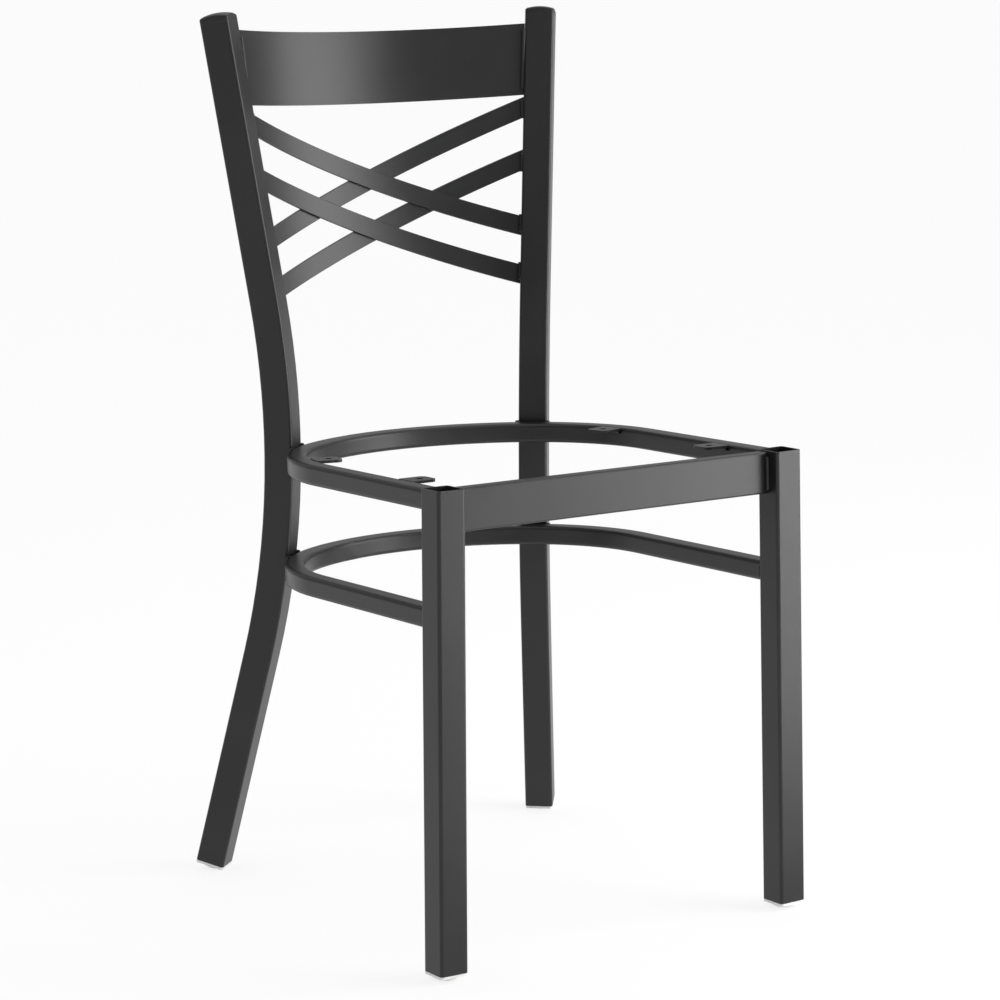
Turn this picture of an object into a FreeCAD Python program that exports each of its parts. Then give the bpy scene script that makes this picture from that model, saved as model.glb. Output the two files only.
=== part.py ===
import FreeCAD, Part
import math
import os
import Sketcher

# Cross back chair, bare welded metal frame, millimetres.
# X runs to the right, Y to the back of the chair, Z up from the floor.
# The front of the chair faces -Y. Left and right are as seen from the front.
# The origin is on the floor, under the middle of the frame's bounding box.

os.makedirs("parts", exist_ok=True)
doc = FreeCAD.newDocument("cross_back_chair")
V = FreeCAD.Vector
Con = Sketcher.Constraint

SIZES = [
    ("tube_side", 28.6, "outside of the square tube of legs and posts"),
    ("tube_wall", 1.5, "wall of every tube"),
    ("tube_radius", 3, "outside corner radius of the leg and post tube"),
    ("leg_spacing", 370, "between the front leg centres at the top"),
    ("leg_top", 436, "height of the front leg tops at their centres"),
    ("leg_splay", 0.7, "sideways lean of the front legs, degrees"),
    ("leg_rake", 1.5, "forward lean of the front leg feet, degrees"),
    ("ring_slope", 2, "fall of the seat ring towards the back, degrees"),
    ("hoop_side", 19, "outside of the square hoop tube"),
    ("hoop_radius", 4, "outside corner radius of the hoop tube"),
    ("hoop_drop", 1.3, "hoop top below the leg top"),
    ("hoop_corner", 155, "centre line radius of the two rear corners"),
    ("hoop_back_bend", 210, "centre line radius across the back"),
    ("hoop_back", 369, "leg centre to the back centre line of the hoop"),
    ("hoop_step", 104.3, "stretcher hoop below the seat hoop"),
    ("post_turn", 40.2, "turn of the rear posts about the vertical, degrees"),
    ("post_low_bend", 810, "centre line radius below the seat"),
    ("post_low_lean", 13.9, "lean of the straight foot length, degrees"),
    ("post_up_bend", 860, "centre line radius above the seat"),
    ("post_up_lean", 9.9, "lean of the straight top length, degrees"),
    ("frame_top", 830.8, "height of the post caps at the post centre"),
    ("joint_gap", 0.3, "fit-up gap in a welded joint"),
    ("rail_height", 38.7, "front rail height"),
    ("rail_depth", 12.5, "front rail depth"),
    ("rail_setback", 13.8, "rail face behind the leg face"),
    ("rail_drop", 1.3, "rail top below the leg top"),
    ("rail_radius", 2, "outside corner radius of the rail"),
    ("back_bend", 309, "plan radius of the top panel and slats"),
    ("back_inset", 9, "their distance behind the post centres, at the posts"),
    ("back_inset_at", 150, "half width at which that inset is taken"),
    ("panel_drop", 16.3, "panel top below the cap tops, along the lean"),
    ("panel_height", 70.5, "top panel height along the lean"),
    ("panel_thick", 2.5, "top panel sheet"),
    ("slat_width", 18.5, "width of the four slats"),
    ("slat_thick", 3, "thickness of the four slats"),
    ("slat_gap", 0.1, "gap between crossing slats"),
    ("sheet_edge", 0.6, "eased long edges of the slats"),
    ("front_upper_high", 104.5, "upper slat of the front pair, high end below the cap tops"),
    ("front_upper_low", 213.9, "its low end"),
    ("front_lower_high", 155.7, "lower slat of the front pair, high end"),
    ("front_lower_low", 261.4, "its low end"),
    ("rear_upper_high", 100.7, "upper slat of the rear pair, high end"),
    ("rear_upper_low", 216.1, "its low end"),
    ("rear_lower_high", 153.5, "lower slat of the rear pair, high end"),
    ("rear_lower_low", 264, "its low end"),
    ("tab_width", 24, "seat fixing tab width"),
    ("tab_reach", 26, "tab length in from the hoop"),
    ("tab_thick", 2.5, "tab plate"),
    ("tab_drop", 0.5, "tab top below the hoop top"),
    ("tab_hole", 7, "screw hole diameter"),
    ("tab_hole_in", 11.5, "hole centre from the tab tip"),
    ("tab_corner", 6, "tip corner radius"),
    ("front_tab_back", 75, "front tab centre behind the leg centres"),
    ("rear_tab_turn", 15, "rear tab round the corner bend, degrees"),
    ("glide_flange", 2.5, "glide flange under the tube end"),
    ("glide_dome", 5, "glide dome under the flange"),
    ("glide_flat", 0.8, "worn flat of the dome on the floor"),
    ("plug_length", 12, "plug of a glide inside the tube"),
    ("plug_wall", 2, "wall of the hollow plugs"),
    ("fit_clearance", 0.3, "plug to tube, each side"),
    ("cap_height", 8.8, "post cap above the tube end"),
    ("cap_crown", 5.2, "fall of the cap from middle to corner"),
    ("cap_round", 2.4, "cap edge rounding"),
    ("cap_plug", 15, "plug of a cap inside the post"),
    ("bead_radius", 2.2, "weld bead radius"),
    ("bead_out", 0.8, "weld bead centre off the joint corner"),
]

WORKED = [
    ("ring_y", "0"),
    ("turn_sin", "=sin(Sizes.post_turn * 1 deg)"),
    ("turn_cos", "=cos(Sizes.post_turn * 1 deg)"),
    ("slope_sin", "=sin(Sizes.ring_slope * 1 deg)"),
    ("slope_cos", "=cos(Sizes.ring_slope * 1 deg)"),
    ("tube_inner", "=Sizes.tube_side - 2 * Sizes.tube_wall"),
    ("tube_inner_radius", "=Sizes.tube_radius - Sizes.tube_wall"),
    ("hoop_inner", "=Sizes.hoop_side - 2 * Sizes.tube_wall"),
    ("hoop_inner_radius", "=Sizes.hoop_radius - Sizes.tube_wall"),
    ("plug_side", "=tube_inner - 2 * Sizes.fit_clearance"),
    ("plug_radius", "=tube_inner_radius - Sizes.fit_clearance"),
    ("plug_bore", "=plug_side - 2 * Sizes.plug_wall"),
    ("corner_x", "=Sizes.leg_spacing / 2 - Sizes.hoop_corner"),
    ("bend_step", "=Sizes.hoop_back_bend - Sizes.hoop_corner"),
    ("corner_y", "=Sizes.hoop_back - Sizes.hoop_back_bend + sqrt(bend_step ^ 2 - corner_x ^ 2)"),
    ("hoop_mid", "=Sizes.hoop_drop + Sizes.hoop_side / 2"),
    ("bend_join", "=atan(corner_x / sqrt(bend_step ^ 2 - corner_x ^ 2)) / 1 deg"),
    ("bend_x", "=bend_join < Sizes.post_turn ? corner_x : 0"),
    ("bend_y", "=bend_join < Sizes.post_turn ? corner_y : Sizes.hoop_back - Sizes.hoop_back_bend"),
    ("bend_r", "=bend_join < Sizes.post_turn ? Sizes.hoop_corner : Sizes.hoop_back_bend"),
    ("touch_radius", "=bend_r + Sizes.hoop_side / 2"),
    ("touch_x", "=bend_x + touch_radius * turn_sin"),
    ("touch_y", "=bend_y + touch_radius * turn_cos"),
    ("post_off", "=Sizes.tube_side / 2 + Sizes.joint_gap"),
    ("post_x", "=touch_x + post_off * turn_sin"),
    ("post_y", "=touch_y * slope_cos - hoop_mid * slope_sin + post_off * turn_cos"),
    ("waist_z", "=Sizes.leg_top - touch_y * slope_sin - hoop_mid * slope_cos"),
    ("face_bend", "=Sizes.post_low_bend + Sizes.tube_side / 2"),
    ("step_down", "=Sizes.hoop_step + Sizes.hoop_drop - hoop_mid"),
    ("drop_one", "=step_down * slope_cos"),
    ("out_one", "=face_bend - sqrt(face_bend ^ 2 - drop_one ^ 2)"),
    ("back_one", "=(out_one / turn_cos + step_down * slope_sin) / slope_cos"),
    ("drop_two", "=step_down * slope_cos + back_one * slope_sin"),
    ("out_two", "=face_bend - sqrt(face_bend ^ 2 - drop_two ^ 2)"),
    ("back_two", "=(out_two / turn_cos + step_down * slope_sin) / slope_cos"),
    ("leg_lean_tan", "=tan((Sizes.ring_slope - Sizes.leg_rake) * 1 deg)"),
    ("seat_start", "=Sizes.tube_side / 2 + leg_lean_tan * (Sizes.hoop_drop + Sizes.hoop_side) + 0.1"),
    ("low_start", "=seat_start + leg_lean_tan * Sizes.hoop_step"),
    ("seat_bend_y", "=Sizes.hoop_back - Sizes.hoop_back_bend - seat_start"),
    ("low_bend_y", "=Sizes.hoop_back + back_two - Sizes.hoop_back_bend - low_start"),
    ("dome_base", "=Sizes.tube_side / 2 - 0.5"),
    ("dome_radius", "=(dome_base ^ 2 + Sizes.glide_dome ^ 2) / (2 * Sizes.glide_dome)"),
    ("dome_arm", "=dome_radius - Sizes.glide_flange - Sizes.glide_dome"),
    ("front_cos", "=cos(Sizes.leg_rake * 1 deg) * cos(Sizes.leg_splay * 1 deg)"),
    ("front_stand", "=dome_radius - dome_arm * front_cos - Sizes.glide_flat"),
    ("low_cos", "=cos(Sizes.post_low_lean * 1 deg)"),
    ("low_sin", "=sin(Sizes.post_low_lean * 1 deg)"),
    ("rear_stand", "=dome_radius - dome_arm * low_cos - Sizes.glide_flat"),
    ("leg_length", "=(Sizes.leg_top - front_stand) / front_cos"),
    ("low_straight", "=(waist_z - Sizes.post_low_bend * low_sin - rear_stand) / low_cos"),
    ("low_out", "=Sizes.post_low_bend * (1 - low_cos) + low_straight * low_sin"),
    ("low_down", "=Sizes.post_low_bend * low_sin + low_straight * low_cos"),
    ("up_cos", "=cos(Sizes.post_up_lean * 1 deg)"),
    ("up_sin", "=sin(Sizes.post_up_lean * 1 deg)"),
    ("up_rise", "=Sizes.frame_top - waist_z - Sizes.post_up_bend * up_sin"),
    ("up_straight", "=up_rise / up_cos - Sizes.cap_height"),
    ("up_out", "=Sizes.post_up_bend * (1 - up_cos) + up_straight * up_sin"),
    ("up_high", "=Sizes.post_up_bend * up_sin + up_straight * up_cos"),
    ("top_out", "=Sizes.post_up_bend * (1 - up_cos) + up_rise * up_sin / up_cos"),
    ("back_lean_tan", "=up_sin / up_cos * turn_cos"),
    ("back_lean", "=atan(back_lean_tan) / 1 deg"),
    ("back_y", "=post_y + top_out * turn_cos"),
    ("inner_x", "=post_x + top_out * turn_sin - post_off / turn_cos"),
    ("inner_fall", "=up_sin / up_cos * turn_sin * cos(back_lean * 1 deg)"),
    ("back_centre", "=Sizes.back_inset - sqrt(Sizes.back_bend ^ 2 - Sizes.back_inset_at ^ 2)"),
    ("sector_half", "=asin((Sizes.leg_spacing / 2 + 10) / Sizes.back_bend) / 1 deg"),
    ("front_upper_run", "=2 * inner_x - inner_fall * (Sizes.front_upper_high + Sizes.front_upper_low)"),
    ("front_upper_tilt", "=atan((Sizes.front_upper_low - Sizes.front_upper_high) / front_upper_run) / 1 deg"),
    ("front_upper_shift", "=inner_fall * (Sizes.front_upper_high - Sizes.front_upper_low) / 2"),
    ("front_lower_run", "=2 * inner_x - inner_fall * (Sizes.front_lower_high + Sizes.front_lower_low)"),
    ("front_lower_tilt", "=atan((Sizes.front_lower_low - Sizes.front_lower_high) / front_lower_run) / 1 deg"),
    ("front_lower_shift", "=inner_fall * (Sizes.front_lower_high - Sizes.front_lower_low) / 2"),
    ("rear_upper_run", "=2 * inner_x - inner_fall * (Sizes.rear_upper_high + Sizes.rear_upper_low)"),
    ("rear_upper_tilt", "=atan((Sizes.rear_upper_low - Sizes.rear_upper_high) / rear_upper_run) / 1 deg"),
    ("rear_upper_shift", "=inner_fall * (Sizes.rear_upper_high - Sizes.rear_upper_low) / 2"),
    ("rear_lower_run", "=2 * inner_x - inner_fall * (Sizes.rear_lower_high + Sizes.rear_lower_low)"),
    ("rear_lower_tilt", "=atan((Sizes.rear_lower_low - Sizes.rear_lower_high) / rear_lower_run) / 1 deg"),
    ("rear_lower_shift", "=inner_fall * (Sizes.rear_lower_high - Sizes.rear_lower_low) / 2"),
    ("tab_floor", "=-(Sizes.hoop_drop + Sizes.tab_drop + Sizes.tab_thick)"),
    ("front_root", "=Sizes.leg_spacing / 2 - Sizes.hoop_side / 2 - 0.15"),
    ("rear_root", "=Sizes.hoop_corner - Sizes.hoop_side / 2 - 0.15"),
]


def fill_sheet(name, rows):
    """Write one sheet, a name, a value or formula and a note to each row."""
    sheet = doc.addObject("Spreadsheet::Sheet", name)
    for number, row in enumerate(rows, 1):
        sheet.set("A%d" % number, row[0])
        sheet.set("B%d" % number, str(row[1]))
        sheet.setAlias("B%d" % number, row[0])
        if len(row) > 2:
            sheet.set("C%d" % number, row[2])
    return sheet


sizes = fill_sheet("Sizes", SIZES)
doc.recompute()
worked = fill_sheet("Worked", WORKED)
doc.recompute()


def size(name):
    """Value of one driving dimension."""
    return float(sizes.get(name))


def work(name):
    """Value of one derived dimension."""
    return float(worked.get(name))


RING = "placement(vector(0; Worked.ring_y; Sizes.leg_top); rotationx(-Sizes.ring_slope))"
BACK = ("placement(vector(0; Worked.back_y + Worked.ring_y; Sizes.frame_top); "
        "rotationx(-Worked.back_lean))")
SIDES = (("left", -1), ("right", 1))
NODES = []


def node(obj, name):
    """Mark an object as one of the pieces that are written out."""
    obj.Label = name
    NODES.append(obj)
    return obj


def moved(x, y, z, turn="rotationx(0)"):
    """Text of a placement from three lengths and a rotation."""
    return "placement(vector(%s; %s; %s); %s)" % (x, y, z, turn)


def post_frame(side):
    """Placement of a rear post, local X in its bend plane, away from the seat."""
    turn = "rotationz(%s)" % ("90 - Sizes.post_turn" if side > 0 else "90 + Sizes.post_turn")
    return moved("%d * Worked.post_x" % side, "Worked.post_y + Worked.ring_y", "Worked.waist_z", turn)


def base_plane(body, role):
    """Origin plane of a body."""
    return [f for f in body.Origin.OriginFeatures if f.Role == role][0]


def new_body(name):
    """An empty body."""
    return doc.addObject("PartDesign::Body", name)


def new_sketch(body, role, name):
    """A sketch on one of the body's origin planes."""
    sketch = body.newObject("Sketcher::SketchObject", name)
    sketch.AttachmentSupport = [(base_plane(body, role), "")]
    sketch.MapMode = "FlatFace"
    return sketch


def bind(sketch, index, text):
    """Bind a sketch constraint to an expression."""
    sketch.setExpression("Constraints[%d]" % index, text)


def rounded(sketch, width, height, radius):
    """Add a rounded rectangle about the sketch origin, its sizes bound to expressions."""
    a, b, r = [0.5 * value_of(width), 0.5 * value_of(height), value_of(radius)]
    n = len(sketch.Geometry)
    ends = [((-a + r, -b), (a - r, -b)), ((a, -b + r), (a, b - r)),
            ((a - r, b), (-a + r, b)), ((-a, b - r), (-a, -b + r))]
    for p, q in ends:
        sketch.addGeometry(Part.LineSegment(V(p[0], p[1], 0), V(q[0], q[1], 0)), False)
    corners = [(a - r, -b + r, -90), (a - r, b - r, 0), (-a + r, b - r, 90), (-a + r, -b + r, 180)]
    for x, y, start in corners:
        circle = Part.Circle(V(x, y, 0), V(0, 0, 1), r)
        arc = Part.ArcOfCircle(circle, math.radians(start), math.radians(start + 90))
        sketch.addGeometry(arc, False)
    for i in range(4):
        sketch.addConstraint(Con("Tangent", n + i, 2, n + 4 + i, 1))
        sketch.addConstraint(Con("Tangent", n + 4 + i, 2, n + (i + 1) % 4, 1))
    for i in (0, 2):
        sketch.addConstraint(Con("Horizontal", n + i))
        sketch.addConstraint(Con("Vertical", n + i + 1))
    for i in (5, 6, 7):
        sketch.addConstraint(Con("Equal", n + 4, n + i))
    bind(sketch, sketch.addConstraint(Con("Radius", n + 4, r)), radius)
    bind(sketch, sketch.addConstraint(Con("DistanceX", n + 3, 1, n + 1, 1, 2 * a)), width)
    bind(sketch, sketch.addConstraint(Con("DistanceY", n, 1, n + 2, 1, 2 * b)), height)
    sketch.addConstraint(Con("Symmetric", n, 1, n + 2, 1, -1, 1))


def value_of(text):
    """Value of an expression made of one sheet name and a plain number."""
    probe = doc.getObject("Probe") or doc.addObject("App::FeaturePython", "Probe")
    if not hasattr(probe, "Result"):
        probe.addProperty("App::PropertyFloat", "Result")
    return float(probe.evalExpression(text))


def pad(body, sketch, length, name, down=False):
    """Pad a sketch by a length given as an expression."""
    feature = body.newObject("PartDesign::Pad", name)
    feature.Profile = sketch
    feature.Reversed = down
    feature.setExpression("Length", length)
    return feature


def box(name, length, width, height, where):
    """A box with its corner moved by a placement expression."""
    block = doc.addObject("Part::Box", name)
    block.setExpression("Length", length)
    block.setExpression("Width", width)
    block.setExpression("Height", height)
    block.setExpression("Placement", where)
    return block


def boolean(kind, name, base, tool):
    """A cut or a common of two objects."""
    result = doc.addObject("Part::" + kind, name)
    result.Base = base
    result.Tool = tool
    return result


def front_leg(name, side):
    """A straight square tube, cut square, with its top left open."""
    body = new_body(name)
    sketch = new_sketch(body, "XY_Plane", name + "_section")
    rounded(sketch, "Sizes.tube_side", "Sizes.tube_side", "Sizes.tube_radius")
    rounded(sketch, "Worked.tube_inner", "Worked.tube_inner", "Worked.tube_inner_radius")
    pad(body, sketch, "Worked.leg_length", name + "_tube", True)
    turn = "rotationx(-Sizes.leg_rake) * rotationy(%d * Sizes.leg_splay)" % -side
    where = moved("%d * Sizes.leg_spacing / 2" % side, "Worked.ring_y", "Sizes.leg_top", turn)
    body.setExpression("Placement", where)
    return node(body, name)


def bend_path(body, name, radius, lean, straight, up):
    """Path of a post from its upright waist, a bend and then a straight length."""
    sketch = new_sketch(body, "XZ_Plane", name)
    r = value_of(radius)
    a = math.radians(value_of(lean))
    reach = value_of(straight)
    circle = Part.Circle(V(r, 0, 0), V(0, 0, 1), r)
    if up > 0:
        arc = Part.ArcOfCircle(circle, math.pi - a, math.pi)
        first, last = 2, 1
    else:
        arc = Part.ArcOfCircle(circle, math.pi, math.pi + a)
        first, last = 1, 2
    x = r * (1 - math.cos(a))
    z = up * r * math.sin(a)
    end = V(x + reach * math.sin(a), z + up * reach * math.cos(a), 0)
    sketch.addGeometry(arc, False)
    sketch.addGeometry(Part.LineSegment(V(x, z, 0), end), False)
    sketch.addConstraint(Con("Coincident", 0, first, -1, 1))
    sketch.addConstraint(Con("PointOnObject", 0, 3, -1))
    sketch.addConstraint(Con("Tangent", 0, last, 1, 1))
    bind(sketch, sketch.addConstraint(Con("Radius", 0, r)), radius)
    bind(sketch, sketch.addConstraint(Con("Angle", 0, a)), lean + " * 1 deg")
    bind(sketch, sketch.addConstraint(Con("Distance", 1, reach)), straight)
    return sketch


def pipe(body, profile, path, name):
    """Sweep a profile along a path that lies in one plane."""
    feature = body.newObject("PartDesign::AdditivePipe", name)
    feature.Profile = profile
    feature.Spine = path
    feature.Mode = "Standard"
    doc.recompute()
    return feature


def rear_post(name, side):
    """A square tube bent outwards below the seat and outwards above it."""
    body = new_body(name)
    section = new_sketch(body, "XY_Plane", name + "_section")
    rounded(section, "Sizes.tube_side", "Sizes.tube_side", "Sizes.tube_radius")
    rounded(section, "Worked.tube_inner", "Worked.tube_inner", "Worked.tube_inner_radius")
    upper = bend_path(body, name + "_upper_path", "Sizes.post_up_bend", "Sizes.post_up_lean",
                      "Worked.up_straight", 1)
    lower = bend_path(body, name + "_lower_path", "Sizes.post_low_bend", "Sizes.post_low_lean",
                      "Worked.low_straight", -1)
    doc.recompute()
    pipe(body, section, upper, name + "_upper")
    pipe(body, section, lower, name + "_lower")
    body.setExpression("Placement", post_frame(side))
    return node(body, name)


def hoop(name, start, bend_y, drop):
    """A square tube bent to a U, its two ends against the front legs."""
    body = new_body(name)
    section = new_sketch(body, "XZ_Plane", name + "_section")
    section.setExpression(".AttachmentOffset.Base.x", "-Sizes.leg_spacing / 2")
    rounded(section, "Sizes.hoop_side", "Sizes.hoop_side", "Sizes.hoop_radius")
    rounded(section, "Worked.hoop_inner", "Worked.hoop_inner", "Worked.hoop_inner_radius")
    path = new_sketch(body, "XY_Plane", name + "_path")
    half = 0.5 * size("leg_spacing")
    small = size("hoop_corner")
    large = size("hoop_back_bend")
    low = value_of(bend_y)
    xc = work("corner_x")
    yc = low + math.sqrt((large - small) ** 2 - xc ** 2)
    arcs = []
    left = math.pi / 2 + math.atan2(xc, yc - low)
    right = math.pi - left
    for x, y, r, a, b in ((-xc, yc, small, left, math.pi), (0, low, large, right, left),
                          (xc, yc, small, 0, right)):
        circle = Part.Circle(V(x, y, 0), V(0, 0, 1), r)
        arcs.append(Part.ArcOfCircle(circle, a, b))
    path.addGeometry(Part.LineSegment(V(-half, 0, 0), V(-half, yc, 0)), False)
    for arc in arcs:
        path.addGeometry(arc, False)
    path.addGeometry(Part.LineSegment(V(half, yc, 0), V(half, 0, 0)), False)
    for first, last in (((0, 2), (1, 2)), ((1, 1), (2, 2)), ((2, 1), (3, 2)), ((3, 1), (4, 1))):
        path.addConstraint(Con("Tangent", first[0], first[1], last[0], last[1]))
    path.addConstraint(Con("Vertical", 0))
    path.addConstraint(Con("PointOnObject", 0, 1, -1))
    path.addConstraint(Con("Symmetric", 0, 1, 4, 2, -2))
    path.addConstraint(Con("PointOnObject", 2, 3, -2))
    path.addConstraint(Con("Equal", 1, 3))
    bind(path, path.addConstraint(Con("Radius", 1, small)), "Sizes.hoop_corner")
    bind(path, path.addConstraint(Con("Radius", 2, large)), "Sizes.hoop_back_bend")
    width = path.addConstraint(Con("DistanceX", 0, 1, 4, 2, 2 * half))
    bind(path, width, "Sizes.leg_spacing")
    bind(path, path.addConstraint(Con("DistanceY", -1, 1, 2, 3, low)), bend_y)
    doc.recompute()
    pipe(body, section, path, name + "_tube")
    body.setExpression("Placement", RING + " * " + moved("0", start, "-(%s)" % drop))
    return node(body, name)


def front_rail(name):
    """A rectangular tube between the front legs."""
    body = new_body(name)
    section = new_sketch(body, "YZ_Plane", name + "_section")
    section.setExpression(".AttachmentOffset.Base.z", "-(Sizes.leg_spacing - Sizes.tube_side) / 2 + 0.1")
    rounded(section, "Sizes.rail_depth", "Sizes.rail_height", "Sizes.rail_radius")
    rounded(section, "Sizes.rail_depth - 2 * Sizes.tube_wall",
            "Sizes.rail_height - 2 * Sizes.tube_wall", "Sizes.rail_radius - Sizes.tube_wall")
    pad(body, section, "Sizes.leg_spacing - Sizes.tube_side - 0.2", name + "_tube")
    across = "-Sizes.tube_side / 2 + Sizes.rail_setback + Sizes.rail_depth / 2"
    middle = "-(Sizes.rail_drop + Sizes.rail_height / 2)"
    body.setExpression("Placement", RING + " * " + moved("0", across, middle))
    return node(body, name)


def arc_band(name, inner, outer, bottom, height):
    """An upright curved band, part of a ring about the back's plan centre."""
    body = new_body(name + "_band")
    sketch = new_sketch(body, "XY_Plane", name + "_plan")
    sketch.setExpression(".AttachmentOffset.Base.z", bottom)
    half = math.radians(work("sector_half"))
    centre = work("back_centre")
    radii = [value_of(inner), value_of(outer)]
    for r in radii:
        circle = Part.Circle(V(0, centre, 0), V(0, 0, 1), r)
        sketch.addGeometry(Part.ArcOfCircle(circle, math.pi / 2 - half, math.pi / 2 + half), False)
    points = [[V(s * r * math.sin(half), centre + r * math.cos(half), 0) for r in radii] for s in (1, -1)]
    sketch.addGeometry(Part.LineSegment(points[0][0], points[0][1]), False)
    sketch.addGeometry(Part.LineSegment(points[1][0], points[1][1]), False)
    sketch.addConstraint(Con("Coincident", 2, 1, 0, 1))
    sketch.addConstraint(Con("Coincident", 2, 2, 1, 1))
    sketch.addConstraint(Con("Coincident", 3, 1, 0, 2))
    sketch.addConstraint(Con("Coincident", 3, 2, 1, 2))
    sketch.addConstraint(Con("Coincident", 0, 3, 1, 3))
    sketch.addConstraint(Con("PointOnObject", 0, 3, -2))
    sketch.addConstraint(Con("Symmetric", 0, 1, 0, 2, -2))
    sketch.addConstraint(Con("Symmetric", 1, 1, 1, 2, -2))
    bind(sketch, sketch.addConstraint(Con("Radius", 0, radii[0])), inner)
    bind(sketch, sketch.addConstraint(Con("Radius", 1, radii[1])), outer)
    bind(sketch, sketch.addConstraint(Con("DistanceY", -1, 1, 0, 3, centre)), "Worked.back_centre")
    for arc in (0, 1):
        angle = sketch.addConstraint(Con("Angle", arc, 2 * half))
        bind(sketch, angle, "2 * Worked.sector_half * 1 deg")
    pad(body, sketch, height, name + "_sheet")
    return body


def post_side(name, side):
    """A block standing where a post's inner face ends the back's sheet pieces."""
    spin = "rotationz(%s)" % ("-Sizes.post_turn" if side > 0 else "180 + Sizes.post_turn")
    steps = [moved("0", "0", "0", "rotationx(Worked.back_lean)"),
             moved("%d * Worked.inner_x" % side, "0", "0", spin),
             moved("0", "-Sizes.leg_spacing", "-Sizes.frame_top / 2")]
    return box(name, "Sizes.leg_spacing", "2 * Sizes.leg_spacing", "Sizes.frame_top", " * ".join(steps))


def trim_ends(name, piece, eased=True):
    """Cut a piece of the back off at both posts, ease a slat's long edges and place it."""
    once = boolean("Cut", name + "_right_end", piece, post_side(name + "_right_block", 1))
    last = name + "_square" if eased else name
    done = boolean("Cut", last, once, post_side(name + "_left_block", -1))
    if eased:
        doc.recompute()
        edges = done.Shape.Edges
        longest = max(edge.Length for edge in edges)
        rim = size("sheet_edge")
        square = done
        done = doc.addObject("Part::Fillet", name)
        done.Base = square
        done.Edges = [(i, rim, rim) for i, edge in enumerate(edges, 1) if edge.Length > longest / 2]
    done.setExpression("Placement", BACK)
    return node(done, name)


def top_panel(name):
    """The curved head panel."""
    half = "Sizes.panel_thick / 2"
    band = arc_band(name, "Sizes.back_bend - " + half, "Sizes.back_bend + " + half,
                    "-(Sizes.panel_drop + Sizes.panel_height)", "Sizes.panel_height")
    return trim_ends(name, band, False)


def slat(name, row, high_side, front):
    """One flat slat of the two crosses, its high end on the given side."""
    high = "Sizes.%s_high" % row
    low = "Sizes.%s_low" % row
    if front:
        inner = "Sizes.back_bend - Sizes.slat_thick - Sizes.slat_gap / 2"
        outer = "Sizes.back_bend - Sizes.slat_gap / 2"
    else:
        inner = "Sizes.back_bend + Sizes.slat_gap / 2"
        outer = "Sizes.back_bend + Sizes.slat_gap / 2 + Sizes.slat_thick"
    band = arc_band(name, inner, outer, "-(%s + 2 * Sizes.slat_width)" % low,
                    "%s - %s + 4 * Sizes.slat_width" % (low, high))
    turn = "rotationy(%d * Worked.%s_tilt)" % (-high_side, row)
    steps = [moved("%d * Worked.%s_shift" % (-high_side, row), "0", "-(%s + %s) / 2" % (high, low), turn),
             moved("-Sizes.leg_spacing", "-Sizes.leg_spacing", "-Sizes.slat_width / 2")]
    strip = box(name + "_strip", "2 * Sizes.leg_spacing", "2 * Sizes.leg_spacing",
                "Sizes.slat_width", " * ".join(steps))
    return trim_ends(name, boolean("Common", name + "_blank", band, strip))


def vertical_edges_at(shape, x, tolerance=0.01):
    """Names of the upright straight edges of a shape at one X."""
    names = []
    for number, edge in enumerate(shape.Edges, 1):
        ends = [vertex.Point for vertex in edge.Vertexes]
        if len(ends) < 2:
            continue
        upright = abs(ends[0].x - ends[1].x) < tolerance and abs(ends[0].y - ends[1].y) < tolerance
        if upright and abs(ends[0].x - x) < tolerance:
            names.append("Edge%d" % number)
    return names


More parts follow.
